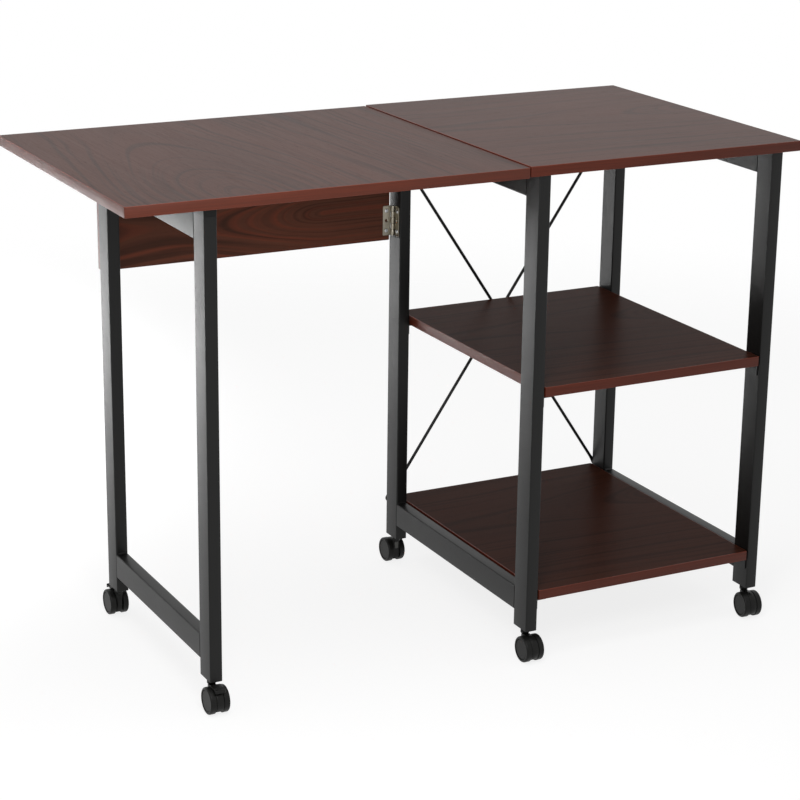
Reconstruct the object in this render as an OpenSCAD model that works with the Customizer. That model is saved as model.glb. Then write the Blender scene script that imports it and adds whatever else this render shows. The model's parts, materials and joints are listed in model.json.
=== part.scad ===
// Mobile folding writing desk: a shelf unit on casters, a hinged leaf and a swing gate that carries the leaf.
// X runs along the desk, Y from front to back, Z up from the floor. Millimetres.

/* [Boards] */
// Height of the fixed top's upper face above the floor
top_height = 758; // [700:1:820]
// Thickness of every board
board_t = 15; // [12:0.5:18]
// Length of the hinged leaf
leaf_len = 600; // [480:5:700]
// Gap between the leaf and the fixed top
seam_gap = 1.5; // [1:0.1:2.5]
// How far the leaf's upper face lies below the fixed top's
leaf_drop = 1.5; // [0:0.1:2.5]
// Overhang of the fixed top past the left posts
left_overhang = 20; // [19:0.5:30]
// Overhang of the fixed top past the right posts
right_overhang = 24; // [0:1:40]
// Overhang of both tops in front of the front posts
front_overhang = 10; // [0:1:15]
// Overhang of both tops behind the back posts
back_overhang = 48; // [20:1:70]

/* [Shelf unit] */
// Width over the posts
unit_w = 418; // [360:1:470]
// Depth over the posts
unit_d = 462; // [440:1:480]
// Height of the mid shelf's upper face above the floor
mid_shelf_z = 428; // [300:1:520]
// Height of the bottom rails' lower faces above the floor
rail_z = 72; // [68:1:110]
// How far the bottom shelf stands above its rails
shelf_rise = 1.5; // [0:0.5:6]
// Gap between a shelf and the posts at each side
shelf_gap = 2; // [0.3:0.1:2.5]

/* [Tubes] */
// Width of a frame tube, along the desk
tube_w = 19; // [18:0.5:25]
// Depth of a post and height of a rail
tube_d = 38; // [34:1:44]
// Wall of the tubes
tube_wall = 1.5; // [1:0.1:2]
// Outer corner radius of the tubes
tube_corner = 2.2; // [2.1:0.1:3]

/* [Gate] */
// Distance from the left posts to the gate's outer face
gate_reach = 493; // [485:1:540]
// Depth of the gate's leg frame
gate_d = 410; // [380:1:420]
// Height of the apron board
apron_h = 170; // [140:1:200]
// Gap between the gate's top rail and the leaf
gate_drop = 20; // [16:0.5:30]
// How far the apron's free end stands back from the gate's outer face
apron_inset = 3; // [0:0.5:8]
// Gap between the apron's hinged end and the back left post
apron_gap = 7.5; // [4:0.5:8]

/* [Brace] */
// Diameter of a brace rod
rod_d = 5; // [4.5:0.5:7]
// How far the rods' upper ends lie below the fixed top
brace_drop = 47; // [20:1:140]
// Height of the rods' lower ends
brace_low_z = 106; // [90:1:200]
// Diameter of the flat eye at each end of a rod
eye_d = 14; // [12:0.5:16]
// Thickness of the flat eye
eye_t = 3; // [2:0.5:4]

/* [Hinges] */
// Length of a butt hinge
hinge_len = 48; // [40:1:60]
// Width of a hinge plate, from the pin
plate_w = 16; // [14:0.5:18]
// Thickness of a hinge plate
plate_t = 1.2; // [1:0.1:1.5]
// Radius of the knuckles
knuckle_r = 3.2; // [2.8:0.1:3.4]
// Diameter of the pins
pin_d = 3; // [2.5:0.1:3.2]
// Distance from the apron's ends to the gate hinges
gate_hinge_inset = 8; // [4:1:20]
// Distance from the tops' front and back edges to the leaf hinges
leaf_hinge_inset = 60; // [30:1:90]

/* [Casters] */
// Height of the caster below the post
caster_h = 48; // [47:0.5:52]
// Diameter of a wheel
wheel_d = 40; // [36:0.5:41]
// Width over both wheels
wheels_w = 30; // [29:0.5:33]
// Width of one wheel's tread
tread_w = 9; // [8:0.5:9]
// Distance from the stem's axis to the wheels' axle
trail = 15; // [13:0.5:16]
// Diameter of the stem
stem_d = 8; // [7:0.5:9]
// Diameter of the axle
axle_d = 5; // [4:0.5:6]
// Swivel of the front right caster as it stands, seen from above
right_turn = -5; // [-11:1:11]

/* [Hidden] */
$fn = 48;
// Fits and seats
fit_gap = 0.3; // between pieces of different bodies that don't touch
run_gap = 0.05; // radial clearance of pins, axles and screws
cut = 1; // how far a cut runs past the solid it opens
// Heights
foot_z = caster_h;
top_under = top_height - board_t;
leaf_top = top_height - leaf_drop;
leaf_under = leaf_top - board_t;
gate_top = leaf_under - gate_drop;
apron_z = gate_top - apron_h;
rail_top = rail_z + tube_d;
low_shelf_z = rail_top + shelf_rise;
brace_top_z = top_under - brace_drop;
// Lengths and places, from the left posts' outer faces and the front posts' front faces
top_len = left_overhang + unit_w + right_overhang;
top_depth = front_overhang + unit_d + back_overhang;
leaf_x = -left_overhang - seam_gap - leaf_len;
gate_x = -gate_reach;
gate_back = unit_d - board_t;
gate_front = gate_back - gate_d;
right_x = unit_w - tube_w;
back_y = unit_d - tube_d;
shelf_x = tube_w + shelf_gap;
shelf_len = unit_w - 2 * shelf_x;
// Hinge pins
hinge_off = knuckle_r + fit_gap;
gate_pin = [-hinge_off, gate_back - hinge_off];
leaf_pin_x = -left_overhang - seam_gap / 2;
leaf_pin_z = leaf_under - hinge_off;
gate_hinge_z = [apron_z + gate_hinge_inset, gate_top - gate_hinge_inset - hinge_len];
leaf_hinge_y = [leaf_hinge_inset - front_overhang, unit_d + back_overhang - leaf_hinge_inset - hinge_len];
knuckles = 5;
knuckle_gap = 0.4;
hinge_hole_step = hinge_len / 3;
hinge_hole_x = (hinge_off + plate_w) / 2;
// Hinge screws
screw_d = 3.5;
screw_head_d = 6.6;
screw_head_h = 1.4;
board_bite = 11;
tube_bite = 8;
// Machine screws
bolt_d = 4;
bolt_head_d = 8;
bolt_head_h = 2.4;
// Shelf tabs
tab_w = 30;
tab_leg = 16;
tab_t = 2;
tab_inset = 4;
// Brace
rod_gap = 0.3;
spacer_h = rod_d + rod_gap;
spacer_d = 9;
brace_x = [tube_w / 2, unit_w - tube_w / 2];
brace_run = brace_x[1] - brace_x[0];
brace_rise = brace_top_z - brace_low_z;
brace_len = norm([brace_run, brace_rise]);
brace_tilt = atan2(brace_rise, brace_run);
// Casters
wheel_r = wheel_d / 2;
rim_round = 2.5;
wheel_in = wheels_w / 2 - tread_w;
cup_step = 4; // from the tread and from the axle to the cup in a wheel's inner face
disc_dip = 0.7; // depth of the disc in a wheel's outer face
rim_w = 4.2; // from the tread to that disc
side_gap = 0.6; // between housing and wheels
housing_half = wheel_in - side_gap;
hood_r = wheel_r - side_gap;
axle_half = wheels_w / 2 - 3;
collar_h = 2;
collar_d = 12;
collar_gap = 1.2;
boss_wall = 2.5;
boss_d = stem_d + 2 * boss_wall;
housing_top = foot_z - collar_h - collar_gap;
boss_low = wheel_d - 1;
notch_z = 6.5;
stem_low = wheel_r + 6;
plug_h = 26;
cap_plug_h = 14;
// Brake lever: a flat plate over the wheels that falls to its tip when pressed
lever_travel = 12;
lever_lean = 15;
lever_gap = 0.8; // between the pressed lever and the wheels
lever_half = 8;
lever_t = 2.2;
lever_reach = 15.5;
lever_back = 6;
lip_w = 2.4;
lip_up = 0.8;
lip_down = 2.5;
lever_pin_d = 3;
lever_pin_r = wheel_r - 2.5; // distance of the lever's pin from the axle
lever_pin = lever_pin_r * [sin(lever_lean), cos(lever_lean)];
tongue_half = 2.6;
tongue_r = 3;
tongue_room = 2;
// The bounding box's middle is the origin: the front right caster reaches furthest forward
caster_reach = trail * cos(right_turn) + (wheel_r - rim_round) * cos(right_turn)
    + (wheels_w / 2 - rim_round) * sin(abs(right_turn)) + rim_round;
caster_front = tube_d / 2 - max(caster_reach, trail + wheel_r);
low_y = min(caster_front, -front_overhang);
high_y = unit_d + back_overhang;
mid_x = (leaf_x + unit_w + right_overhang) / 2;
mid_y = (low_y + high_y) / 2;
// Where the casters stand: x, y and swivel angle, trailing to -Y at 0
front_left_at = [tube_w / 2, tube_d / 2, 0];
front_right_at = [unit_w - tube_w / 2, tube_d / 2, right_turn];
back_left_at = [tube_w / 2, unit_d - tube_d / 2, 180];
back_right_at = [unit_w - tube_w / 2, unit_d - tube_d / 2, 180];
gate_front_at = [gate_x + tube_w / 2, gate_front + tube_d / 2, 0];
gate_back_at = [gate_x + tube_w / 2, gate_back - tube_d / 2, 180];

// Finishes
module walnut() { color([0.33, 0.20, 0.17]) children(); }
module black_coat() { color([0.13, 0.13, 0.13]) children(); }
module black_plastic() { color([0.08, 0.08, 0.08]) children(); }
module nickel() { color([0.72, 0.70, 0.66]) children(); }
module zinc() { color([0.62, 0.63, 0.65]) children(); }

// From the shelf unit's corner to the part's own origin
module home() { translate([-mid_x, -mid_y, 0]) children(); }

// Rectangle with round corners, centred
module round_rect(w, d, r) {
    square([w - 2 * r, d], center = true);
    square([w, d - 2 * r], center = true);
    for (x = [-1, 1], y = [-1, 1])
        translate([x * (w / 2 - r), y * (d / 2 - r)]) circle(r);
}

// Upright hollow tube, from the low corner of its box
module post_tube(len) {
    translate([tube_w / 2, tube_d / 2, 0])
        difference() {
            linear_extrude(len) round_rect(tube_w, tube_d, tube_corner);
            translate([0, 0, -cut])
                linear_extrude(len + 2 * cut)
                    round_rect(tube_w - 2 * tube_wall, tube_d - 2 * tube_wall, tube_corner - tube_wall);
        }
}

// Hollow rail along Y, from the low corner of its box
module rail_tube(len) {
    translate([0, 0, tube_d]) rotate([-90, 0, 0]) post_tube(len);
}

// Screw along +Z with a domed, cross-slotted head below z = 0
module screw(d, len, head_d, head_h) {
    slot_w = head_d / 8;
    difference() {
        union() {
            cylinder(d = d, h = len);
            translate([0, 0, -head_h / 2]) cylinder(d = head_d, h = head_h / 2);
            translate([0, 0, -head_h]) cylinder(d1 = head_d * 0.6, d2 = head_d, h = head_h / 2);
        }
        for (a = [0, 90])
            rotate([0, 0, a])
                translate([-head_d * 0.25, -slot_w / 2, -head_h - cut])
                    cube([head_d * 0.5, slot_w, cut + head_h * 0.6]);
    }
}

module hinge_screw(len) { screw(screw_d, len, screw_head_d, screw_head_h); }
module hinge_screw_hole(len) { translate([0, 0, -cut]) cylinder(d = screw_d + 2 * run_gap, h = len + cut + run_gap); }
module bolt(len) { screw(bolt_d, len, bolt_head_d, bolt_head_h); }
module bolt_hole(len) { translate([0, 0, -cut]) cylinder(d = bolt_d + 2 * run_gap, h = len + cut + run_gap); }

// Heights of the screwed holes along a hinge, and of all three
function hinge_screw_at() = [hinge_len / 2 - hinge_hole_step, hinge_len / 2 + hinge_hole_step];
function hinge_hole_at() = [hinge_len / 2 - hinge_hole_step, hinge_len / 2, hinge_len / 2 + hinge_hole_step];

// Hinge plate with its pin on Z. The plate lies in the plane x = seat and runs to -Y, and holds every
// second knuckle, starting with the one numbered first. pack thickens the plate towards its seat.
module hinge_plate(first, pack) {
    step = hinge_len / knuckles;
    difference() {
        union() {
            translate([hinge_off - plate_t, -plate_w, 0])
                cube([plate_t + pack, plate_w - hinge_off, hinge_len]);
            for (i = [first : 2 : knuckles - 1])
                translate([0, 0, i * step + knuckle_gap / 2]) {
                    cylinder(r = knuckle_r, h = step - knuckle_gap);
                    translate([hinge_off - plate_t, -hinge_off - cut, 0])
                        cube([plate_t, hinge_off + cut, step - knuckle_gap]);
                }
        }
        translate([0, 0, -cut]) cylinder(d = pin_d + 2 * run_gap, h = hinge_len + 2 * cut);
        for (z = hinge_hole_at())
            translate([hinge_off - plate_t - cut, -hinge_hole_x, z])
                rotate([0, 90, 0]) cylinder(d = screw_d + 2 * run_gap, h = plate_t + pack + 2 * cut);
    }
}

// Screws of one plate, in the plate's own frame
module plate_screws(len) {
    for (z = hinge_screw_at())
        translate([hinge_off - plate_t, -hinge_hole_x, z]) rotate([0, 90, 0]) hinge_screw(len);
}
module plate_screw_holes(len) {
    for (z = hinge_screw_at())
        translate([hinge_off - plate_t, -hinge_hole_x, z]) rotate([0, 90, 0]) hinge_screw_hole(len);
}

// The four plates' frames: the post's, the apron's, the fixed top's and the leaf's
module at_post_plates() { for (z = gate_hinge_z) translate([gate_pin[0], gate_pin[1], z]) children(); }
module at_apron_plates() {
    for (z = gate_hinge_z) translate([gate_pin[0], gate_pin[1], z]) mirror([1, -1, 0]) children();
}
module at_leaf_plates() {
    for (y = leaf_hinge_y) translate([leaf_pin_x, y, leaf_pin_z]) rotate([0, -90, -90]) children();
}
module at_top_plates() {
    for (y = leaf_hinge_y)
        translate([leaf_pin_x, y, leaf_pin_z]) mirror([1, 0, 0]) rotate([0, -90, -90]) children();
}

// Boards
module board(len, depth) { cube([len, depth, board_t]); }

module top_board() {
    walnut() home() difference() {
        translate([-left_overhang, -front_overhang, top_under]) board(top_len, top_depth);
        at_top_plates() plate_screw_holes(board_bite);
        at_top_screws() bolt_hole(tube_wall + board_bite);
    }
}
module leaf_board() {
    walnut() home() difference() {
        translate([leaf_x, -front_overhang, leaf_under]) board(leaf_len, top_depth);
        at_leaf_plates() plate_screw_holes(board_bite);
    }
}
module mid_shelf() {
    walnut() home() difference() {
        translate([shelf_x, 0, mid_shelf_z - board_t]) board(shelf_len, unit_d);
        at_mid_tabs() tab_screw_at() bolt_hole(tab_t + board_bite);
    }
}
module bottom_shelf() {
    walnut() home() difference() {
        translate([shelf_x, 0, low_shelf_z - board_t]) board(shelf_len, unit_d);
        at_low_tabs() tab_screw_at() bolt_hole(tab_t + board_bite);
    }
}
module apron_board() {
    walnut() home() difference() {
        translate([gate_x + apron_inset, gate_back, apron_z])
            cube([gate_reach - apron_inset - apron_gap, board_t, apron_h]);
        at_apron_plates() plate_screw_holes(board_bite);
        at_apron_screws() bolt_hole(board_t + tube_bite);
    }
}

// Posts
module front_left_post() {
    black_coat() home() translate([0, 0, foot_z]) post_tube(top_under - foot_z);
}
module back_left_post() {
    black_coat() home() difference() {
        translate([0, back_y, foot_z]) post_tube(top_under - foot_z);
        at_post_plates() plate_screw_holes(tube_bite);
        at_brace_screws(0) bolt_hole(eye_t + spacer_h + tube_bite);
    }
}
module front_right_post() {
    black_coat() home() translate([right_x, 0, foot_z]) post_tube(top_under - foot_z);
}
module back_right_post() {
    black_coat() home() difference() {
        translate([right_x, back_y, foot_z]) post_tube(top_under - foot_z);
        at_brace_screws(1) bolt_hole(eye_t + spacer_h + tube_bite);
    }
}

// Rails of the two side frames
module side_rail(x, z) {
    translate([x, tube_d, z]) rail_tube(unit_d - 2 * tube_d);
}
module top_rail(x) {
    difference() {
        side_rail(x, top_under - tube_d);
        at_top_screws() {
            bolt_hole(tube_wall + board_bite);
            translate([0, 0, -tube_d]) cylinder(d = bolt_head_d + 1, h = tube_d - tube_wall);
        }
    }
}
module left_top_rail() { black_coat() home() top_rail(0); }
module right_top_rail() { black_coat() home() top_rail(right_x); }
module left_bottom_rail() { black_coat() home() side_rail(0, rail_z); }
module right_bottom_rail() { black_coat() home() side_rail(right_x, rail_z); }

// Screws that hold the fixed top, up through the top rails
module at_top_screws() {
    for (x = brace_x, y = [tube_d * 2, unit_d - tube_d * 2])
        translate([x, y, top_under - tube_wall]) children();
}
module top_board_screws() { zinc() home() at_top_screws() bolt(tube_wall + board_bite); }

// Brace: two rods crossed behind the shelf unit
module brace_rod(tilt) {
    difference() {
        union() {
            rotate([0, tilt, 0]) {
                translate([eye_d / 4, rod_d / 2, 0]) rotate([0, 90, 0])
                    cylinder(d = rod_d, h = brace_len - eye_d / 2);
                for (x = [0, brace_len])
                    translate([x, 0, 0]) rotate([-90, 0, 0]) cylinder(d = eye_d, h = eye_t);
            }
        }
        rotate([0, tilt, 0])
            for (x = [0, brace_len])
                translate([x, -cut, 0]) rotate([-90, 0, 0]) {
                    cylinder(d = bolt_d + 2 * run_gap, h = rod_d + 2 * cut);
                    translate([0, 0, cut + eye_t]) cylinder(d = bolt_head_d + 2, h = rod_d);
                }
    }
}
module brace_rod_inner() {
    black_coat() home() translate([brace_x[0], unit_d, brace_top_z]) brace_rod(brace_tilt);
}
module brace_rod_outer() {
    black_coat() home() translate([brace_x[0], unit_d + spacer_h, brace_low_z]) brace_rod(-brace_tilt);
}
// Brace screws of one side's post, 0 left and 1 right, with their heads on the eyes
module at_brace_screws(side) {
    inner_z = side == 0 ? brace_top_z : brace_low_z;
    outer_z = side == 0 ? brace_low_z : brace_top_z;
    translate([brace_x[side], unit_d + eye_t, inner_z]) rotate([90, 0, 0]) children();
    translate([brace_x[side], unit_d + eye_t + spacer_h, outer_z]) rotate([90, 0, 0]) children();
}
module brace_screws() {
    zinc() home() for (side = [0, 1]) {
        inner_z = side == 0 ? brace_top_z : brace_low_z;
        outer_z = side == 0 ? brace_low_z : brace_top_z;
        translate([brace_x[side], unit_d + eye_t, inner_z]) rotate([90, 0, 0]) bolt(eye_t + tube_bite);
        translate([brace_x[side], unit_d + eye_t + spacer_h, outer_z]) rotate([90, 0, 0])
            bolt(eye_t + spacer_h + tube_bite);
    }
}
module brace_spacers() {
    zinc() home() for (side = [0, 1])
        translate([brace_x[side], unit_d + spacer_h, side == 0 ? brace_low_z : brace_top_z])
            rotate([90, 0, 0]) difference() {
                cylinder(d = spacer_d, h = spacer_h);
                translate([0, 0, -cut]) cylinder(d = bolt_d + 2 * run_gap, h = spacer_h + 2 * cut);
            }
}

// Angle tabs welded to the side frames, with the shelves screwed down on them
module tab() {
    difference() {
        union() {
            cube([tab_leg, tab_w, tab_t]);
            translate([0, 0, tab_t - tab_leg]) cube([tab_t, tab_w, tab_leg]);
        }
        tab_screw_at() bolt_hole(2 * tab_t);
    }
}
module tab_screw_at() { translate([(tab_leg + tab_t) / 2, tab_w / 2, 0]) children(); }
module at_tabs(z) {
    for (y = [tab_inset, unit_d - tab_inset - tab_w]) {
        translate([tube_w, y, z - board_t - tab_t]) children();
        translate([right_x, y, z - board_t - tab_t]) mirror([1, 0, 0]) children();
    }
}
module at_mid_tabs() { at_tabs(mid_shelf_z) children(); }
module at_low_tabs() { at_tabs(low_shelf_z) children(); }
module shelf_tabs() {
    black_coat() home() {
        at_mid_tabs() tab();
        at_low_tabs() tab();
    }
}
module shelf_screws() {
    zinc() home() {
        at_mid_tabs() tab_screw_at() bolt(tab_t + board_bite);
        at_low_tabs() tab_screw_at() bolt(tab_t + board_bite);
    }
}

// Outline of a plug that fits inside a tube
module plug_outline() {
    round_rect(tube_w - 2 * (tube_wall + run_gap), tube_d - 2 * (tube_wall + run_gap), tube_corner - tube_wall);
}

// Plugs in the posts' lower ends, and the caster stems that screw into them
module foot_plug(at) {
    translate([at[0], at[1], foot_z]) difference() {
        linear_extrude(plug_h) plug_outline();
        translate([0, 0, -cut]) cylinder(d = stem_d + 2 * run_gap, h = plug_h + 2 * cut);
    }
}
module caster_stem(at) {
    translate([at[0], at[1], 0]) {
        translate([0, 0, stem_low]) cylinder(d = stem_d, h = foot_z + plug_h - stem_low);
        translate([0, 0, foot_z - collar_h]) cylinder(d = collar_d, h = collar_h);
    }
}
unit_casters = [front_left_at, front_right_at, back_left_at, back_right_at];
gate_casters = [gate_front_at, gate_back_at];
module post_foot_plugs() { black_plastic() home() for (at = unit_casters) foot_plug(at); }
module gate_foot_plugs() { black_plastic() home() for (at = gate_casters) foot_plug(at); }
module caster_stems() { zinc() home() for (at = unit_casters) caster_stem(at); }
module gate_caster_stems() { zinc() home() for (at = gate_casters) caster_stem(at); }

// Gate: a leg frame of four tubes and the apron board behind it
module gate_post(y) { translate([gate_x, y, foot_z]) post_tube(gate_top - foot_z); }
module gate_rail(z) { translate([gate_x, gate_front + tube_d, z]) rail_tube(gate_d - 2 * tube_d); }
module gate_front_post() { black_coat() home() gate_post(gate_front); }
module gate_back_post() {
    black_coat() home() difference() {
        gate_post(gate_back - tube_d);
        at_apron_screws() bolt_hole(board_t + tube_bite);
    }
}
module gate_top_rail() { black_coat() home() gate_rail(gate_top - tube_d); }
module gate_bottom_rail() { black_coat() home() gate_rail(rail_z); }
module at_apron_screws() {
    for (s = [0.15, 0.5, 0.85])
        translate([gate_x + tube_w / 2 + apron_inset / 2, unit_d, apron_z + s * apron_h]) rotate([90, 0, 0])
            children();
}
module apron_screws() { zinc() home() at_apron_screws() bolt(board_t + tube_bite); }

// Caps in the gate posts' upper ends, tall enough to carry the leaf
module gate_rest_caps() {
    black_plastic() home() for (at = gate_casters)
        translate([at[0], at[1], gate_top]) {
            linear_extrude(gate_drop - fit_gap) round_rect(tube_w, tube_d, tube_corner);
            translate([0, 0, -cap_plug_h]) linear_extrude(cap_plug_h + cut) plug_outline();
        }
}

// Hinges
module gate_hinge_post_plates() { nickel() home() at_post_plates() hinge_plate(1, 0); }
module gate_hinge_apron_plates() { nickel() home() at_apron_plates() hinge_plate(0, 0); }
module gate_hinge_pins() {
    zinc() home() for (z = gate_hinge_z)
        translate([gate_pin[0], gate_pin[1], z]) cylinder(d = pin_d, h = hinge_len);
}
module leaf_hinge_top_plates() { nickel() home() at_top_plates() hinge_plate(1, leaf_drop); }
module leaf_hinge_leaf_plates() { nickel() home() at_leaf_plates() hinge_plate(0, 0); }
module leaf_hinge_pins() {
    zinc() home() for (y = leaf_hinge_y)
        translate([leaf_pin_x, y, leaf_pin_z]) rotate([-90, 0, 0]) cylinder(d = pin_d, h = hinge_len);
}
module frame_hinge_screws() {
    zinc() home() {
        at_post_plates() plate_screws(tube_bite);
        at_top_plates() plate_screws(board_bite);
    }
}
module apron_hinge_screws() { zinc() home() at_apron_plates() plate_screws(board_bite); }
module leaf_hinge_screws() { zinc() home() at_leaf_plates() plate_screws(board_bite); }

// Casters, about the stem's axis, trailing to -Y
module at_caster(at) { home() translate([at[0], at[1], 0]) rotate([0, 0, at[2]]) children(); }

// Outline in the plane behind the axle, spread to both sides of the caster's middle
module spread(half) {
    translate([half, -trail, wheel_r]) rotate([90, 0, -90]) linear_extrude(2 * half) children();
}
module about_lever_pin(angle) {
    translate(lever_pin) rotate(angle) translate(-lever_pin) children();
}

module caster_housing(braked) {
    black_plastic() difference() {
        union() {
            spread(housing_half) circle(hood_r);
            translate([-housing_half, -trail, wheel_r]) cube([2 * housing_half, trail, hood_r - 1]);
            translate([0, 0, wheel_r]) cylinder(r = housing_half, h = boss_low - wheel_r);
            translate([0, 0, boss_low]) cylinder(d = boss_d, h = housing_top - boss_low);
        }
        translate([-wheels_w / 2, -trail - wheel_d, -cut]) cube([wheels_w, 2 * wheel_d, notch_z + cut]);
        translate([0, 0, stem_low - run_gap]) cylinder(d = stem_d + 2 * run_gap, h = housing_top);
        spread(wheels_w / 2) circle(d = axle_d + 2 * run_gap);
        if (braked) {
            spread(tongue_half + fit_gap) translate(lever_pin) circle(tongue_r + tongue_room);
            spread(wheels_w / 2) translate(lever_pin) circle(d = lever_pin_d + 2 * run_gap);
        }
    }
}
module caster_axle() {
    zinc() spread(axle_half) circle(d = axle_d);
}
// One wheel's section: distance from the axle, distance from the caster's middle
module wheel_section() {
    out = wheels_w / 2;
    bore = axle_d / 2 + run_gap / 2;
    difference() {
        union() {
            translate([0, wheel_in]) square([wheel_r - rim_round, tread_w]);
            translate([0, wheel_in]) square([wheel_r, tread_w - rim_round]);
            translate([wheel_r - rim_round, out - rim_round]) circle(rim_round);
        }
        translate([0, wheel_in - cut]) square([bore, axle_half - wheel_in + cut + run_gap]);
        translate([axle_d, wheel_in - cut]) square([wheel_r - axle_d - cup_step, tread_w / 2 + cut]);
        translate([0, out - disc_dip]) square([wheel_r - rim_w, cut]);
    }
}
module caster_wheels() {
    black_plastic() translate([0, -trail, wheel_r])
        for (side = [-90, 90])
            rotate([0, side, 0]) rotate_extrude() wheel_section();
}
// Brake lever, raised when off: a plate with a lip at its tip, a tongue down into the housing and a cross pin
module brake_lever() {
    plate_r = wheel_r + lever_gap;
    black_plastic() {
        spread(lever_half) about_lever_pin(lever_travel) rotate(-lever_lean) {
            translate([-lever_back, plate_r]) square([lever_back + lever_reach, lever_t]);
            translate([lever_reach - lip_w, plate_r - lip_down]) square([lip_w, lip_down + lever_t + lip_up]);
        }
        spread(tongue_half) about_lever_pin(lever_travel) rotate(-lever_lean) {
            translate([0, lever_pin_r]) circle(tongue_r);
            translate([-tongue_r, lever_pin_r])
                square([2 * tongue_r, plate_r + lever_t / 2 - lever_pin_r]);
        }
        spread(housing_half - 2 * fit_gap) translate(lever_pin) circle(d = lever_pin_d);
    }
}

module front_left_caster_housing() { at_caster(front_left_at) caster_housing(false); }
module front_left_caster_axle() { at_caster(front_left_at) caster_axle(); }
module front_left_caster_wheels() { at_caster(front_left_at) caster_wheels(); }
module front_right_caster_housing() { at_caster(front_right_at) caster_housing(false); }
module front_right_caster_axle() { at_caster(front_right_at) caster_axle(); }
module front_right_caster_wheels() { at_caster(front_right_at) caster_wheels(); }
module back_left_caster_housing() { at_caster(back_left_at) caster_housing(false); }
module back_left_caster_axle() { at_caster(back_left_at) caster_axle(); }
module back_left_caster_wheels() { at_caster(back_left_at) caster_wheels(); }
module back_right_caster_housing() { at_caster(back_right_at) caster_housing(false); }
module back_right_caster_axle() { at_caster(back_right_at) caster_axle(); }
module back_right_caster_wheels() { at_caster(back_right_at) caster_wheels(); }
module gate_front_caster_housing() { at_caster(gate_front_at) caster_housing(true); }
module gate_front_caster_axle() { at_caster(gate_front_at) caster_axle(); }
module gate_front_caster_wheels() { at_caster(gate_front_at) caster_wheels(); }
module gate_front_brake_lever() { at_caster(gate_front_at) brake_lever(); }
module gate_back_caster_housing() { at_caster(gate_back_at) caster_housing(true); }
module gate_back_caster_axle() { at_caster(gate_back_at) caster_axle(); }
module gate_back_caster_wheels() { at_caster(gate_back_at) caster_wheels(); }
module gate_back_brake_lever() { at_caster(gate_back_at) brake_lever(); }

top_board();
mid_shelf();
bottom_shelf();
front_left_post();
back_left_post();
front_right_post();
back_right_post();
left_top_rail();
right_top_rail();
left_bottom_rail();
right_bottom_rail();
brace_rod_inner();
brace_rod_outer();
brace_spacers();
brace_screws();
shelf_tabs();
shelf_screws();
top_board_screws();
post_foot_plugs();
caster_stems();
gate_hinge_post_plates();
leaf_hinge_top_plates();
frame_hinge_screws();
apron_board();
gate_front_post();
gate_back_post();
gate_top_rail();
gate_bottom_rail();
gate_rest_caps();
gate_foot_plugs();
gate_caster_stems();
apron_screws();
gate_hinge_apron_plates();
gate_hinge_pins();
apron_hinge_screws();
leaf_board();
leaf_hinge_leaf_plates();
leaf_hinge_pins();
leaf_hinge_screws();
front_left_caster_housing();
front_left_caster_axle();
front_left_caster_wheels();
front_right_caster_housing();
front_right_caster_axle();
front_right_caster_wheels();
back_left_caster_housing();
back_left_caster_axle();
back_left_caster_wheels();
back_right_caster_housing();
back_right_caster_axle();
back_right_caster_wheels();
gate_front_caster_housing();
gate_front_caster_axle();
gate_front_caster_wheels();
gate_front_brake_lever();
gate_back_caster_housing();
gate_back_caster_axle();
gate_back_caster_wheels();
gate_back_brake_lever();
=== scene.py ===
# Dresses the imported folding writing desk: boards, tubes, hinges, casters, stage.
import json
import math
from collections import namedtuple

import bmesh
import bpy
from bpy.props import FloatProperty, FloatVectorProperty, PointerProperty
from bpy.types import Operator, Panel, PropertyGroup
from mathutils import Matrix, Vector


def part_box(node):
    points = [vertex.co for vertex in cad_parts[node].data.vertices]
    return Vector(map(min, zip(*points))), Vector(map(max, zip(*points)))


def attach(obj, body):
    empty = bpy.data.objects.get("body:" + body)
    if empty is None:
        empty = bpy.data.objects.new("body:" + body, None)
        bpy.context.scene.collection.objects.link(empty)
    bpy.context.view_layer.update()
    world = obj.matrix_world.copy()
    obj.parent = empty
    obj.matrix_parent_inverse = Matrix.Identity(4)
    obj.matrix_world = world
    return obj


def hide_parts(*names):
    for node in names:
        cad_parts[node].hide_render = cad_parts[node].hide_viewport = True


bl_info = {
    "name": "Folding writing desk",
    "version": (1, 0, 0),
    "blender": (4, 5, 0),
    "location": "3D View > Sidebar > Desk",
    "description": "Boards, tubes, hinges and casters of a folding writing desk",
    "category": "Object",
}

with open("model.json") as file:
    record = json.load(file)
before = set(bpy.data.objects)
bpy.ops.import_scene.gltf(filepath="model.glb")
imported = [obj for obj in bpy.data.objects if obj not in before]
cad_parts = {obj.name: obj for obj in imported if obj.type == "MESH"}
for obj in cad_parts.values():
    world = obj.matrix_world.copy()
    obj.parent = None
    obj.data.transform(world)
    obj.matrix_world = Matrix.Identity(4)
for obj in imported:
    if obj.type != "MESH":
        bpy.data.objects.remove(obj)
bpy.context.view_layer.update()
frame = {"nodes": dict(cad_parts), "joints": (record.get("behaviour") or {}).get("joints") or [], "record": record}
bodies = frame["record"]["behaviour"]["bodies"]
body_of_node = {node: body for body, nodes in bodies.items() for node in nodes}

MM = 0.001
X, Y, Z = (1, 0, 0), (0, 1, 0), (0, 0, 1)
CASTERS = ("front_left", "front_right", "back_left", "back_right", "gate_front", "gate_back")
BRAKED = ("gate_front", "gate_back")
LEVER_LEAN = 15  # degrees between a pressed lever's pin and the wheel's top
LEVER_TRAVEL = 12  # degrees that a lever is raised when its brake is off
LEVER_PIN = 2.5 * MM  # depth of a lever's pin under the wheel's top


def paint(*screen):
    """A colour as a screen shows it, 0 to 255, as Blender's linear values."""
    def linear(part):
        return part / 12.92 if part <= 0.04045 else ((part + 0.055) / 1.055) ** 2.4
    return tuple(linear(value / 255) for value in screen)


# Settings


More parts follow.
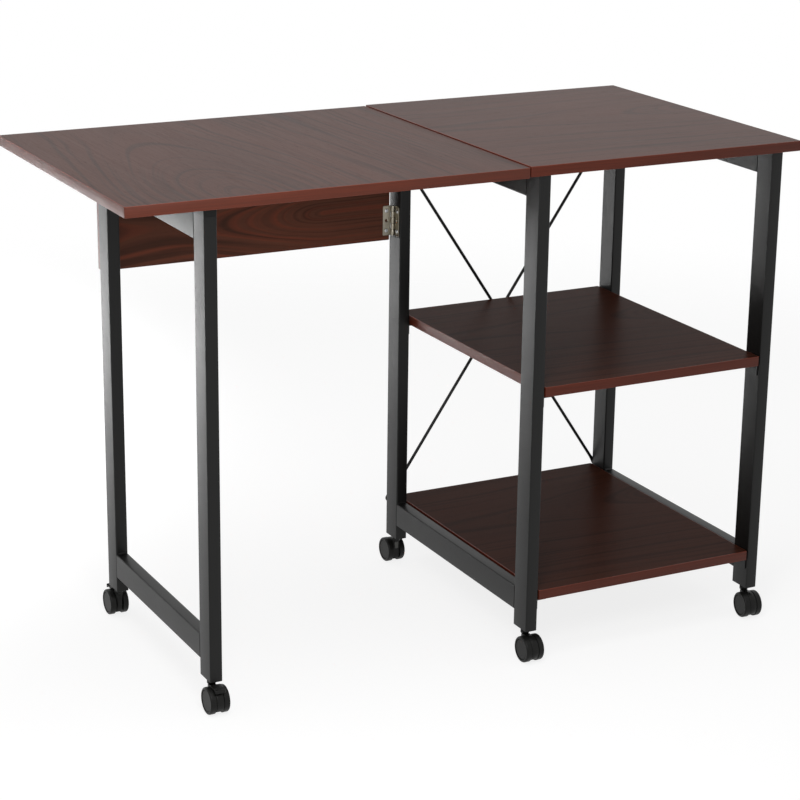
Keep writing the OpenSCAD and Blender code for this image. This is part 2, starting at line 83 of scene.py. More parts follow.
def length(name, text, millimetres):
    return FloatProperty(name=name, description=text, default=millimetres * MM, min=0,
                         max=100 * MM, precision=4, subtype="DISTANCE", unit="LENGTH")


def colour(name, text, red, green, blue):
    return FloatVectorProperty(name=name, description=text, default=paint(red, green, blue),
                               size=3, min=0, max=1, subtype="COLOR")


def share(name, text, value, most=1.0):
    return FloatProperty(name=name, description=text, default=value, min=0, max=most,
                         subtype="FACTOR")


def power(name, text, watts):
    return FloatProperty(name=name, description=text, default=watts, min=0, max=1000,
                         unit="POWER")


class BoardSettings(PropertyGroup):
    band: length("Edge band", "Thickness of the band glued round each board", 1.2)
    arris: length("Arris", "Radius of the band's rounded edges", 0.5)
    corner: length("Corner", "Radius of a board's corners seen from above", 1.6)
    face: colour("Face", "Laminate's ground colour", 80, 45, 34)
    vein: colour("Vein", "Laminate's darker grain", 40, 22, 16)
    # Painted shade: the shelves' ground is a darker copy of the tops' laminate, for the shade under the boards
    # above.
    shelf_face_painted_shade: colour("Shelf face", "Ground colour of the shelves", 74, 42, 31)
    shelf_vein: colour("Shelf vein", "Darker grain of the shelves", 40, 22, 17)
    apron_face: colour("Apron face", "Ground colour of the apron", 118, 73, 57)
    apron_vein: colour("Apron vein", "Darker grain of the apron", 71, 47, 38)
    apron_streak: colour("Apron streak", "Reddish streaks of the apron", 138, 70, 52)
    edge: colour("Edge band colour", "Ground colour of the edge bands", 75, 27, 10)
    # Painted light: the leaf's bands are lighter and greyer than the others, for the light their edge catches from
    # the front left.
    leaf_edge_painted_light: colour("Leaf's edge band colour", "Ground colour of the leaf's bands", 80, 37, 24)
    # Painted highlight: the arris colour lays a bright line along the bands' rounded edges. The plain bands also
    # use it for their lighter streaks.
    bright: colour("Arris colour", "Bands where the rounded edge is cut thin", 124, 54, 36)
    gloss: share("Roughness", "Roughness of the laminate", 0.36)
    band_gloss: share("Band roughness", "Roughness of the edge bands", 0.40)
    arris_gloss: share("Arris roughness", "Roughness of the bands' rounded edges", 0.34)
    top_sheen: share("Sheen of the tops", "Specular level of the two tops", 0.045)
    # Painted shade too: the shelves' laminate gets less sheen than the tops', for the shade under the boards
    # above.
    shelf_sheen: share("Sheen of the shelves", "Specular level of the shelves", 0.01)
    apron_sheen: share("Sheen of the apron", "Specular level of the apron", 0.06)
    edge_sheen: share("Sheen of the bands", "Specular level of the edge bands", 0.24)


class MetalSettings(PropertyGroup):
    coat: colour("Powder coat", "Colour of the tubes and rods", 8, 8, 7)
    coat_roughness: share("Coat roughness", "Roughness of the powder coat", 0.40)
    coat_sheen: share("Coat sheen", "Specular level of the powder coat", 0.26)
    wall: length("Wall", "Wall of the tubes", 1.5)
    corner: length("Corner", "Outer corner radius of the tubes", 2.2)
    weld: length("Weld", "Leg of the weld beads", 2.0)
    nickel: colour("Nickel", "Colour of the hinges", 158, 152, 138)
    nickel_roughness: share("Nickel roughness", "Roughness of the hinges", 0.30)
    zinc: colour("Zinc", "Colour of the screws and pins", 200, 202, 204)
    zinc_roughness: share("Zinc roughness", "Roughness of the screws and pins", 0.34)
    plate: length("Hinge plate", "Thickness of a hinge plate", 1.2)


class CasterSettings(PropertyGroup):
    shell: colour("Housing", "Colour of the housings and levers", 22, 22, 21)
    shell_roughness: share("Housing roughness", "Roughness of the housings and levers", 0.38)
    disc: colour("Disc", "Colour of the wheels' outer faces", 22, 22, 21)
    disc_roughness: share("Disc roughness", "Roughness of the wheels' outer faces", 0.42)
    tread: colour("Tread", "Colour of the wheels' treads", 20, 20, 19)
    tread_roughness: share("Tread roughness", "Roughness of the wheels' treads", 0.40)
    sheen: share("Sheen", "Specular level of the casters' plastic", 0.16)
    groove_roughness: share("Groove roughness", "Roughness of the grooves", 0.60)
    groove_sheen: share("Groove sheen", "Specular level of the grooves", 0.05)
    stem: colour("Stem", "Colour of the casters' stems", 72, 72, 70)
    stem_roughness: share("Stem roughness", "Roughness of the casters' stems", 0.38)
    rim: length("Rim round", "Rounding of a wheel's outer edge", 2.5)
    groove: length("Groove", "Width of the groove inside the rim", 0.7)


class StageSettings(PropertyGroup):
    floor: colour("Floor", "Colour of the floor", 246, 246, 246)
    lift: share("Floor lift", "How far the camera sees the floor as plain white", 0.72)
    reach: FloatProperty(name="Floor reach", description="Radius at which the floor ends",
                         default=3.0, min=1, max=30, subtype="DISTANCE", unit="LENGTH")
    world: share("World light", "Strength of the light from all round", 0.28, 3.0)
    key: power("Key light", "Power of the lamp above", 27)
    front: power("Front light", "Power of the lamp before the leaf", 8)
    back: power("Back light", "Power of the lamp over the floor behind at the left", 260)
    lens: FloatProperty(name="Lens", description="Focal length of the camera",
                        default=102.95, min=20, max=300, subtype="DISTANCE_CAMERA")


class DeskSettings(PropertyGroup):
    boards: PointerProperty(type=BoardSettings)
    metal: PointerProperty(type=MetalSettings)
    casters: PointerProperty(type=CasterSettings)
    stage: PointerProperty(type=StageSettings)


# Shader maths


class Wire:
    """A socket of a finish's node tree that takes part in sums."""

    def __init__(self, finish, socket):
        self.finish = finish
        self.socket = socket

    def maths(self, operation, first, second):
        return self.finish.node("ShaderNodeMath", {"operation": operation},
                                {0: first, 1: second})

    def __add__(self, other):
        return self.maths("ADD", self, other)

    def __radd__(self, other):
        return self.maths("ADD", other, self)

    def __sub__(self, other):
        return self.maths("SUBTRACT", self, other)

    def __rsub__(self, other):
        return self.maths("SUBTRACT", other, self)

    def __mul__(self, other):
        return self.maths("MULTIPLY", self, other)

    def __rmul__(self, other):
        return self.maths("MULTIPLY", other, self)

    def __truediv__(self, other):
        return self.maths("DIVIDE", self, other)

    def __rtruediv__(self, other):
        return self.maths("DIVIDE", other, self)

    def __pow__(self, other):
        return self.maths("POWER", self, other)

    def __rpow__(self, other):
        return self.maths("POWER", other, self)

    def at_least(self, low):
        return self.maths("MAXIMUM", self, low)

    def between(self, low, high):
        """0 at low, 1 at high, eased in between."""
        settings = {"interpolation_type": "SMOOTHSTEP"}
        values = {"Value": self, "From Min": low, "From Max": high}
        return self.finish.node("ShaderNodeMapRange", settings, values)


def find_socket(sockets, key):
    """A socket by its number, or by its identifier or name, where enabled ones come first."""
    if isinstance(key, int):
        return sockets[key]
    found = [s for s in sockets if key in (s.identifier, s.name)]
    return next((s for s in found if s.enabled), found[0])


class Finish:
    """The nodes of a material or of the world."""

    def __init__(self, owner):
        owner.use_nodes = True
        self.owner = owner
        self.tree = owner.node_tree
        self.tree.nodes.clear()

    def node(self, kind, settings, values, output=0):
        """Adds a node: its settings first, then its sockets' values and links."""
        made = self.tree.nodes.new(kind)
        for key, value in settings.items():
            setattr(made, key, value)
        for key, value in values.items():
            socket = find_socket(made.inputs, key)
            if isinstance(value, Wire):
                self.tree.links.new(value.socket, socket)
            else:
                socket.default_value = value
        return Wire(self, find_socket(made.outputs, output)) if made.outputs else None

    def point(self):
        """Where a point is on its own piece, in metres."""
        return self.node("ShaderNodeTexCoord", {}, {}, "Object")

    def axes(self, point):
        """A point's three distances, each as a wire."""
        return [self.node("ShaderNodeSeparateXYZ", {}, {0: point}, axis) for axis in range(3)]

    def vector(self, x, y, z):
        return self.node("ShaderNodeCombineXYZ", {}, {0: x, 1: y, 2: z})

    def noise(self, where, scale, detail, rough=0.5):
        values = {"Vector": where, "Scale": scale, "Detail": detail, "Roughness": rough}
        return self.node("ShaderNodeTexNoise", {"noise_dimensions": "3D"}, values)

    def streaks(self, axes, scales, detail, rough=0.5, shift=0.0):
        """Noise with a scale of its own along each axis. A shift gives another pattern."""
        x, y, z = (axis * scale for axis, scale in zip(axes, scales))
        return self.noise(self.vector(x, y, z + shift), 1.0, detail, rough)

    def mix(self, amount, first, second):
        """Mixes two colours."""
        def four(tone):
            return tone if isinstance(tone, Wire) else (*tone, 1)
        values = {"Factor_Float": amount, "A_Color": four(first), "B_Color": four(second)}
        return self.node("ShaderNodeMix", {"data_type": "RGBA"}, values, "Result_Color")

    def bump(self, height, depth, strength=0.6):
        values = {"Height": height, "Distance": depth, "Strength": strength}
        return self.node("ShaderNodeBump", {}, values)

    def surface(self, **values):
        values = {key.replace("_", " "): value for key, value in values.items()}
        self.output(self.node("ShaderNodeBsdfPrincipled", {}, values))
        return self.owner

    def output(self, shader):
        kind = "World" if isinstance(self.owner, bpy.types.World) else "Material"
        self.node("ShaderNodeOutput" + kind, {}, {"Surface": shader})


def finish_of(name):
    """Starts a material."""
    return Finish(bpy.data.materials.new(name))


# Where a board's growth lines nest: the line they bend round, how deep it lies, where along
# the board it is deepest, and how fast it rises towards the ends
Heart = namedtuple("Heart", "middle depth centre rise")


def wood(name, tones, grain, heart, spacing, contrast, gloss, sheen):
    """Printed wood. grain names the axes along, across and through the board, and spacing is
    the distance of its growth lines."""
    face, vein, streak = tones
    wander, shallowest, unevenness, drift = 30 * MM, 2 * MM, 1.5, 1.5
    line_share, cloud_share, fibre_share, streak_share, pit_share = 0.55, 0.20, 0.30, 0.60, 0.25
    fibre_dulling, pit_dulling, fibre_height = 0.10, 0.08, 0.35
    finish = finish_of(name)
    axes = dict(zip("xyz", finish.axes(finish.point())))
    board = [axes[letter] for letter in grain]
    along, side = board[:2]
    sway = finish.streaks(board, (3, 9, 9), 2, shift=2)
    cloud = finish.streaks(board, (2.5, 7, 7), 3, shift=5)
    fibre = finish.streaks(board, (9, 260, 260), 4, 0.6)
    pit = finish.streaks(board, (55, 900, 900), 2).between(0.60, 0.72)
    away = along - heart.centre
    off = side - heart.middle + (sway - 0.5) * wander
    down = (heart.depth - away * away * heart.rise).at_least(shallowest)
    ring = (off * off + down * down) ** 0.5 / spacing + (cloud - 0.5) * unevenness

    def lines(layer, low, high):
        place = finish.vector(ring, along * drift, layer)
        return finish.noise(place, 1.0, 1.5).between(low, high)

    dark = lines(3.0, 0.47, 0.68)
    figure = (dark * line_share + (1.0 - cloud.between(0.35, 0.65)) * cloud_share
              + fibre * fibre_share)
    tone = finish.mix(figure * contrast, face, vein)
    if streak:
        red = lines(9.0, 0.48, 0.66) * streak_share
        tone = finish.mix(red * (1.0 - dark), tone, streak)
    tone = finish.mix(pit * pit_share * contrast, tone, vein)
    shine = gloss + (fibre - 0.5) * fibre_dulling + pit * pit_dulling
    normal = finish.bump(fibre * fibre_height - pit, 0.05 * MM)
    return finish.surface(Base_Color=tone, Roughness=shine, Normal=normal,
                          Specular_IOR_Level=sheen)


def banding(name, ground, light, gloss, sheen):
    """Thin edge band: fine streaks along the board's edge."""
    streak_share, patch_share, patch_dulling = 0.25, 0.15, 0.12
    finish = finish_of(name)
    point = finish.point()
    fine = finish.streaks(finish.axes(point), (9, 9, 700), 4, 0.6)
    patch = finish.noise(point, 14, 3)
    lit = fine.between(0.40, 0.75) * streak_share + patch * patch_share
    return finish.surface(Base_Color=finish.mix(lit, ground, light),
                          Roughness=gloss + (patch - 0.5) * patch_dulling,
                          Normal=finish.bump(fine, 0.04 * MM), Specular_IOR_Level=sheen)


def coated(name, tone, roughness, sheen, grain, depth=0.04 * MM):
    """Powder coat or moulded plastic: fine orange peel and faint dust. grain is the peel's
    scale, and depth is its height."""
    lighter, haze = 1.4, 0.002
    patch_share, dust_share, patch_dulling, dust_dulling = 0.35, 0.22, 0.10, 0.10
    finish = finish_of(name)
    point = finish.point()
    peel = finish.noise(point, grain, 2)
    patch = finish.noise(point, 9, 4)
    dust = finish.noise(point, 260, 3).between(0.62, 0.78)
    light = tuple(min(1.0, part * lighter + haze) for part in tone)
    base = finish.mix(patch * patch_share + dust * dust_share, tone, light)
    shine = roughness + (patch - 0.5) * patch_dulling + dust * dust_dulling
    return finish.surface(Base_Color=base, Roughness=shine, Normal=finish.bump(peel, depth),
                          Specular_IOR_Level=sheen)


def plated(name, tone, roughness):
    """Plated steel: brushed sheen, with faint darker tarnish."""
    darker, tarnish_share, brush_dulling, patch_dulling = 0.62, 0.55, 0.18, 0.06
    finish = finish_of(name)
    point = finish.point()
    brushed = finish.streaks(finish.axes(point), (400, 400, 40), 4)
    patch = finish.noise(point, 60, 4)
    tarnished = tuple(part * darker for part in tone)
    base = finish.mix(patch.between(0.48, 0.78) * tarnish_share, tone, tarnished)
    shine = roughness + (brushed - 0.5) * brush_dulling + patch * patch_dulling
    return finish.surface(Base_Color=base, Roughness=shine, Metallic=1.0,
                          Normal=finish.bump(brushed, 0.02 * MM, 0.5))


# Mesh work


class Mould:
    """Collects rings, fills and turned forms into one piece."""

    def __init__(self):
        self.mesh = bmesh.new()

    def ring(self, points, place):
        return [self.mesh.verts.new(place @ Vector(point)) for point in points]

    def bridge(self, first, second, finish=0):
        """Faces between two rings. A ring of one point closes to a tip."""
        count = max(len(first), len(second))
        for i in range(count):
            j = (i + 1) % count
            quad = [first[i % len(first)], first[j % len(first)],
                    second[j % len(second)], second[i % len(second)]]
            self.mesh.faces.new(dict.fromkeys(quad)).material_index = finish

    def cap(self, ring, finish=0):
        self.mesh.faces.new(ring).material_index = finish

    def loft(self, loops, place=Matrix(), finishes=None, joined=False):
        """Skins a list of loops of points, and caps its two ends or joins them."""
        rings = [self.ring(loop, place) for loop in loops]
        finishes = finishes or [0] * (len(rings) - 1)
        for first, second, finish in zip(rings, rings[1:], finishes):
            self.bridge(first, second, finish)
        if joined:
            self.bridge(rings[-1], rings[0], finishes[0])
        else:
            self.cap(rings[0], finishes[0])
            self.cap(rings[-1], finishes[-1])

    def turned(self, profile, place, steps, finishes=None):
        """Turns a profile of (radius, height) about Z, and returns its rings."""
        rings = []
        for radius, height in profile:
            count = steps if radius else 1
            rings.append(self.ring(level(circle(0, 0, radius, count), height), place))
        finishes = finishes or [0] * (len(rings) - 1)
        for first, second, finish in zip(rings, rings[1:], finishes):
            self.bridge(first, second, finish)
        return rings

    def plate(self, outline, holes, low, high, place, ease):
        """Flat plate with eased edges. Each hole is (outline at low, outline at high)."""
        inner = inset(outline, ease)
        sections = ((inner, low), (outline, low + ease), (outline, high - ease), (inner, high))
        rings = [self.ring(level(shape, z), place) for shape, z in sections]
        for first, second in zip(rings, rings[1:]):
            self.bridge(first, second)
        lower, upper = [rings[0]], [rings[-1]]
        for below, above in holes:
            lower.append(self.ring(level(below, low), place))
            upper.append(self.ring(level(above, high), place))
            self.bridge(lower[-1], upper[-1])
        self.fill(lower)
        self.fill(upper)

    def fill(self, loops):
        """Fills a flat outline, leaving its holes open."""
        edges = []
        for loop in loops:
            for pair in zip(loop, loop[1:] + loop[:1]):
                edges.append(self.mesh.edges.get(pair) or self.mesh.edges.new(pair))
        bmesh.ops.triangle_fill(self.mesh, edges=edges, use_beauty=True)

    def piece(self, name, finishes, sharp=32):
        """The piece, with edges sharper than so many degrees left crisp."""
        bmesh.ops.recalc_face_normals(self.mesh, faces=self.mesh.faces)
        data = bpy.data.meshes.new(name)
        self.mesh.to_mesh(data)
        self.mesh.free()
        for finish in finishes:
            data.materials.append(finish)
        data.shade_smooth()
        data.set_sharp_from_angle(angle=math.radians(sharp))
        made = bpy.data.objects.new(name, data)
        bpy.context.scene.collection.objects.link(made)
        return made


def turns(count):
    """Evenly spaced angles round a circle."""
    return [2 * math.pi * i / count for i in range(count)]


def quarter(steps):
    """Evenly spaced angles from 0 to a quarter turn."""
    return [math.pi / 2 * i / steps for i in range(steps + 1)]


def circle(x, y, radius, count):
    """Evenly spaced points on a circle."""
    return [(x + radius * math.cos(a), y + radius * math.sin(a)) for a in turns(count)]


def arc(x, y, radius, start, end, count):
    """Points on an arc, angles in degrees."""
    angles = [math.radians(start + (end - start) * i / count) for i in range(count + 1)]
    return [(x + radius * math.cos(a), y + radius * math.sin(a)) for a in angles]


def round_box(low, high, depth, radius, steps=4):
    """Rectangle with rounded corners, anticlockwise, at some depth inside its sides."""
    left, front = (value + depth + radius for value in low)
    right, back = (value - depth - radius for value in high)
    return (arc(right, front, radius, -90, 0, steps) + arc(right, back, radius, 0, 90, steps)
            + arc(left, back, radius, 90, 180, steps) + arc(left, front, radius, 180, 270, steps))


def level(outline, z):
    """An outline's points at one height."""
    return [(x, y, z) for x, y in outline]


def inset(outline, depth):
    """An anticlockwise outline moved inwards."""
    moved = []
    count = len(outline)
    for i in range(count):
        before, here, after = (Vector(outline[(i + k) % count]) for k in (-1, 0, 1))
        first, second = (here - before).normalized(), (after - here).normalized()
        normal = Vector((-first.y - second.y, first.x + second.x))
        scale = 2 * depth / max(normal.length_squared, 1.0)
        moved.append(tuple(here + normal * scale))
    return moved


def solids(node):
    """Lists the points of each separate solid of a CAD node, lowest corner first."""
    work = bmesh.new()
    work.from_mesh(frame["nodes"][node].data)
    bmesh.ops.remove_doubles(work, verts=work.verts, dist=1e-6)
    seen = set()
    found = []
    for start in work.verts:
        if start in seen:
            continue
        seen.add(start)
        group, queue = [], [start]
        while queue:
            vert = queue.pop()
            group.append(vert.co.copy())
            for edge in vert.link_edges:
                other = edge.other_vert(vert)
                if other not in seen:
                    seen.add(other)
                    queue.append(other)
        found.append(group)
    work.free()
    return sorted(found, key=lambda points: tuple(round(v, 5) for v in corners(points)[0]))


def corners(points):
    """Lowest and highest corner of some points."""
    return (Vector([min(p[i] for p in points) for i in range(3)]),
            Vector([max(p[i] for p in points) for i in range(3)]))


def frame_of(x, y, z, origin):
    """Matrix with these three directions and this origin."""
    made = Matrix.Identity(4)
    for i, side in enumerate((x, y, z)):
        for k in range(3):
            made[k][i] = side[k]
        made[i][3] = origin[i]
    return made


def drawn_on(plane, node):
    """Frame at the low corner of a node's box, to draw on its xy or xz plane, and the box's
    three sizes in that frame."""
    low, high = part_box(node)
    size = high - low
    if plane == "xz":
        return frame_of(X, Z, Y, low), size.xzy
    return Matrix.Translation(low), size


def put(piece, node):
    """The piece rides with the body of the node it stands for, and the node is hidden."""
    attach(piece, body_of_node[node])
    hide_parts(node)


def add(piece, node):
    """A piece beside the CAD nodes, which rides with one of them."""
    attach(piece, body_of_node[node])


def dress(nodes, finish):
    """Gives CAD nodes that stay a finish."""
    for node in nodes:
        data = frame["nodes"][node].data
        data.materials.clear()
        data.materials.append(finish)


# Boards

FACE, BAND, ARRIS = range(3)


def board_loops(size, looks):
    """Loops of a banded board from its lower face to its upper, and what each strip is."""
    width, height, thick = size
    band, arris = looks.band, looks.arris
    joint, dip, steps, least_corner = 0.22 * MM, 0.15 * MM, 5, 0.25 * MM
    low = [(band + joint, 0.0), (band + joint / 2, dip), (band, 0.0), (arris, 0.0)]
    low += [(arris - arris * math.sin(a), arris - arris * math.cos(a))
            for a in quarter(steps)[1:]]
    high = [(depth, thick - z) for depth, z in reversed(low)]
    half = [FACE, FACE, BAND] + [ARRIS] * steps
    loops = [level(round_box((0, 0), (width, height), depth,
                             max(looks.corner - depth, least_corner)), z)
             for depth, z in low + high]
    return loops, half + [BAND] + half[::-1]


class DESK_OT_boards(Operator):
    """Build the five laminated boards with their edge bands"""

    bl_idname = "desk.boards"
    bl_label = "Boards"

    def execute(self, context):
        looks = context.scene.desk.boards
        plain = (looks.face, looks.vein, None)
        shelf = (looks.shelf_face_painted_shade, looks.shelf_vein, None)
        figured = (looks.apron_face, looks.apron_vein, looks.apron_streak)
        flat = Heart(middle=0.04, depth=0.09, centre=0.10, rise=0.30)
        broad = Heart(middle=-0.36, depth=0.12, centre=0.30, rise=0.40)
        nested = Heart(middle=0.603, depth=0.046, centre=-0.30, rise=0.62)
        gloss = looks.gloss
        # The shelves get a darker, less shiny copy of the laminate: painted shade under the boards above.
        shelf_face_painted_shade = wood("laminate_shelf_painted_shade", shelf, "xyz", flat, 6 * MM, 0.8, gloss,
                          looks.shelf_sheen)
        faces = {
            "top_board": wood("laminate_top", plain, "xyz", flat, 6 * MM, 0.9, gloss,
                              looks.top_sheen),
            "leaf_board": wood("laminate_leaf", plain, "yxz", broad, 7 * MM, 0.9, gloss,
                               looks.top_sheen),
            "mid_shelf": shelf_face_painted_shade,
            "bottom_shelf": shelf_face_painted_shade,
            "apron_board": wood("laminate_apron", figured, "xzy", nested, 4.5 * MM, 1.0, gloss,
                                looks.apron_sheen),
        }
        # The rounded arris strips carry a painted highlight along each board's edge.
        arris = banding("edge_band_arris_painted_highlight", looks.bright, looks.edge, looks.arris_gloss,
                        looks.edge_sheen)
        # The leaf's bands get the lighter ground, which is painted light.
        plain_band, leaf_band_painted_light = [
            banding(name, tone, looks.bright, looks.band_gloss, looks.edge_sheen)
            for name, tone in (("edge_band", looks.edge), ("leaf_band_painted_light", looks.leaf_edge_painted_light))]
        for node, face in faces.items():
            place, size = drawn_on("xz" if node == "apron_board" else "xy", node)
            loops, strips = board_loops(size, looks)
            mould = Mould()
            mould.loft(loops, place, strips)
            band = leaf_band_painted_light if node == "leaf_board" else plain_band
            piece = mould.piece(node.replace("_board", "") + "_banded", [face, band, arris])
            put(piece, node)
        return {"FINISHED"}


# Tubes


def weld_bead(mould, start, run, out, up, leg):
    """A rippled fillet from start along run, in the corner between out and up."""
    pitch, ripple, wave, tail, fullness = 0.8 * MM, 0.10, 2.1, 0.35, 0.42
    count = max(6, int(run.length / pitch))
    loops = []
    for i in range(count + 1):
        wide = leg * (1 + ripple * math.sin(i * wave) if 0 < i < count else tail)
        spot = start + run * (i / count)
        loops.append([spot, spot + out * wide, spot + (out + up) * (wide * fullness),
                      spot + up * wide])
    mould.loft(loops)


def tube(mould, node, wall, corner):
    """A hollow tube with eased ends, in a post's or a rail's box."""
    ease, least_corner, steps = 0.35 * MM, 0.4 * MM, 6
    plane = "xy" if node.endswith("_post") else "xz"
    place, (wide, deep, reach) = drawn_on(plane, node)
    outside = [(ease, 0), (0, ease), (0, reach - ease), (ease, reach)]
    inside = [(wall - ease, reach), (wall, reach - ease), (wall, ease), (wall - ease, 0)]
    loops = [level(round_box((0, 0), (wide, deep), depth, max(corner - depth, least_corner),
                             steps), z)
             for depth, z in outside + inside]
    mould.loft(loops, place, joined=True)


class DESK_OT_tubes(Operator):
    """Build the tubes and lay weld beads where rails meet posts"""

    bl_idname = "desk.tubes"
    bl_label = "Tubes"

    def execute(self, context):
        looks = context.scene.desk.metal
        peel = 1400
        coat = coated("powder_coat", looks.coat, looks.coat_roughness, looks.coat_sheen, peel)
        posts = [n for n in frame["nodes"] if n.endswith("_post")]
        rails = [n for n in frame["nodes"] if n.endswith("_rail")]
        drilled = ["left_top_rail", "right_top_rail"]
        dress(drilled + ["shelf_tabs"], coat)
        for node in posts + [n for n in rails if n not in drilled]:
            mould = Mould()
            tube(mould, node, looks.wall, looks.corner)
            put(mould.piece(node + "_tube", [coat]), node)
        for body, name in (("shelf_unit", "frame_weld_beads"), ("gate", "gate_weld_beads")):
            mould = Mould()
            own = [n for n in rails if body_of_node[n] == body]
            for node in own:
                self.weld(mould, node, looks.weld)
            add(mould.piece(name, [coat], 60), own[0])
        return {"FINISHED"}

    def weld(self, mould, node, leg):
        """Beads across a rail's two ends: below it, and above it where nothing lies on it."""
        low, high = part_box(node)
        clear = 2.6 * MM
        run = Vector((high.x - low.x - 2 * clear, 0, 0))
        sides = [(low.z, -1)]
        if "bottom" in node:
            sides.append((high.z, 1))
        for y, out in ((low.y, 1), (high.y, -1)):
            for z, up in sides:
                weld_bead(mould, Vector((low.x + clear, y, z)), run, Vector(Y) * out,
                          Vector(Z) * up, leg)


class DESK_OT_brace(Operator):
    """Build the crossed brace rods with their flattened eyes and spacers"""

    bl_idname = "desk.brace"
    bl_label = "Brace"

    def execute(self, context):
        coat = bpy.data.materials["powder_coat"]
        zinc = bpy.data.materials["zinc_plate"]
        for node in ("brace_rod_inner", "brace_rod_outer"):
            mould = Mould()
            self.rod(mould, node)
            put(mould.piece(node + "_forged", [coat]), node)
        mould = Mould()
        bore, cut = 2.05 * MM, 0.3 * MM
        for points in solids("brace_spacers"):
            low, high = corners(points)
            middle = (low + high) / 2
            radius, deep = (high.x - low.x) / 2, high.y - low.y
            profile = [(bore, 0), (radius - cut, 0), (radius, cut), (radius, deep - cut),
                       (radius - cut, deep), (bore, deep), (bore, 0)]
            mould.turned(profile, frame_of(X, Z, Y, (middle.x, low.y, middle.z)), 32)
        put(mould.piece("brace_spacer_sleeves", [zinc]), "brace_spacers")
        return {"FINISHED"}

    def rod(self, mould, node):
        """A round rod, squared as it flattens into an eye at each end."""
        low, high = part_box(node)
        eye, flat, hole, neck, squaring = 7 * MM, 3 * MM, 2.1 * MM, 0.66, 0.45
        half = (high.y - low.y) / 2
        heights = [low.z + eye, high.z - eye]
        if node == "brace_rod_inner":
            heights.reverse()
        ends = [Vector((x, low.y, z)) for x, z in zip((low.x + eye, high.x - eye), heights)]
        reach = (ends[1] - ends[0]).length
        along = (ends[1] - ends[0]).normalized()
        across = along.cross(Vector(Y)).normalized()
        # distance from the eye's middle in radii of the eye, and how flat the rod is there
        taper = ((0.72, 1), (1.3, 0.92), (1.9, 0.55), (2.6, 0.18), (3.3, 0))
        stops = [(radii * eye, flatness) for radii, flatness in taper]
        stops += [(reach - spot, flatness) for spot, flatness in reversed(stops)]
        loops = []
        for spot, flatness in stops:
            wide = half + (neck * eye - half) * flatness
            deep = half + (flat / 2 - half) * flatness
            middle = ends[0] + along * spot + Vector((0, deep, 0))
            loop = []
            for a in turns(24):
                c, s = (math.copysign(abs(v) ** (1 - squaring * flatness), v)
                        for v in (math.cos(a), math.sin(a)))
                loop.append(middle + across * wide * c + Vector((0, deep * s, 0)))
            loops.append(loop)
        mould.loft(loops)
        bore = circle(0, 0, hole, 24)
        for end in ends:
            mould.plate(circle(0, 0, eye, 48), [(bore, bore)], 0, flat,
                        frame_of(along, across, Y, end), 0.3 * MM)


# Screws

# The end of a screw's head, the direction of its point, its length, and the radii of its head
# and its shank
Screw = namedtuple("Screw", "head way reach radius shank")


def farthest(points, middle, axis):
    """Largest distance of some points from the line through middle along an axis."""
    return max(((p - middle).length_squared - (p[axis] - middle[axis]) ** 2) ** 0.5
               for p in points)


def screw_places(node):
    """Each separate solid of a screws node, measured as a Screw."""
    found = []
    for points in solids(node):
        low, high = corners(points)
        size = high - low
        middle = (low + high) / 2
        axis = max(range(3), key=lambda i: size[i])
        end = 3 * MM
        near_low = farthest([p for p in points if p[axis] < low[axis] + end], middle, axis)
        near_high = farthest([p for p in points if p[axis] > high[axis] - end], middle, axis)
        headed_low = near_low > near_high
        head = middle.copy()
        head[axis] = low[axis] if headed_low else high[axis]
        way = Vector((0, 0, 0))
        way[axis] = 1 if headed_low else -1
        found.append(Screw(head, way, size[axis], max(near_low, near_high),
                           min(near_low, near_high)))
    return found


def cross_outline(arm, half):
    """A plus sign, anticlockwise, with eased inner corners."""
    soft = half * 0.5
    arm_end = [(arm, -half), (arm, half), (half + soft, half), (half, half + soft)]
    outline = []
    for c, s in ((1, 0), (0, 1), (-1, 0), (0, -1)):
        outline += [(x * c - y * s, x * s + y * c) for x, y in arm_end]
    return outline


def screw_mesh(mould, screw, height):
    """A domed screw with a cross recess. height is how deep its head is."""
    head, way, reach, radius, shank = screw
    side = way.orthogonal().normalized()
    place = frame_of(side, way.cross(side), way, head)
    rim, crown, deep, ease = radius * 0.66, height * 0.12, height * 0.85, 0.1 * MM
    bow, fullness, arm, half = 0.62, 0.92, radius * 0.46, radius * 0.11
    slim, narrow = 0.62, 0.8
    # the point's radii and distances from its tip, in radii of the shank
    taper = ((0, 0), (0.5, 0.8), (1, 2))
    dome = [(radius * math.cos(a * bow), height * (1 - math.sin(a * bow) * fullness))
            for a in quarter(6)]
    dome = [(r, z) for r, z in dome if r > rim] + [(rim, crown)]
    point = [(shank * wide, reach - shank * back) for wide, back in taper]
    rings = mould.turned(point + [(shank, height), (radius - ease, height)] + dome, place, 32)
    recess = cross_outline(arm, half)
    face = mould.ring(level(recess, crown), place)
    floor = mould.ring(level([(x * slim, y * narrow) for x, y in recess], deep), place)
    mould.fill([rings[-1], face])
    mould.bridge(face, floor)
    mould.cap(floor)


class DESK_OT_screws(Operator):
    """Build every screw with a domed head and a cross recess"""

    bl_idname = "desk.screws"
    bl_label = "Screws"

    def execute(self, context):
        looks = context.scene.desk.metal
        zinc = plated("zinc_plate", looks.zinc, looks.zinc_roughness)
        heads = ((2.4 * MM, ("brace", "shelf", "top_board", "apron")),
                 (1.4 * MM, ("frame_hinge", "apron_hinge", "leaf_hinge")))
        for height, names in heads:
            for name in names:
                node = name + "_screws"
                mould = Mould()
                for screw in screw_places(node):
                    screw_mesh(mould, screw, height)
                put(mould.piece(node + "_cross_head", [zinc]), node)
        return {"FINISHED"}


# Hinges

# Sizes of a butt hinge: a plate's width from the pin, how far its face is off the pin, the
# radii of the knuckles and the pin, the length along the pin and the plate's thickness
Hinge = namedtuple("Hinge", "width off knuckle pin reach plate")


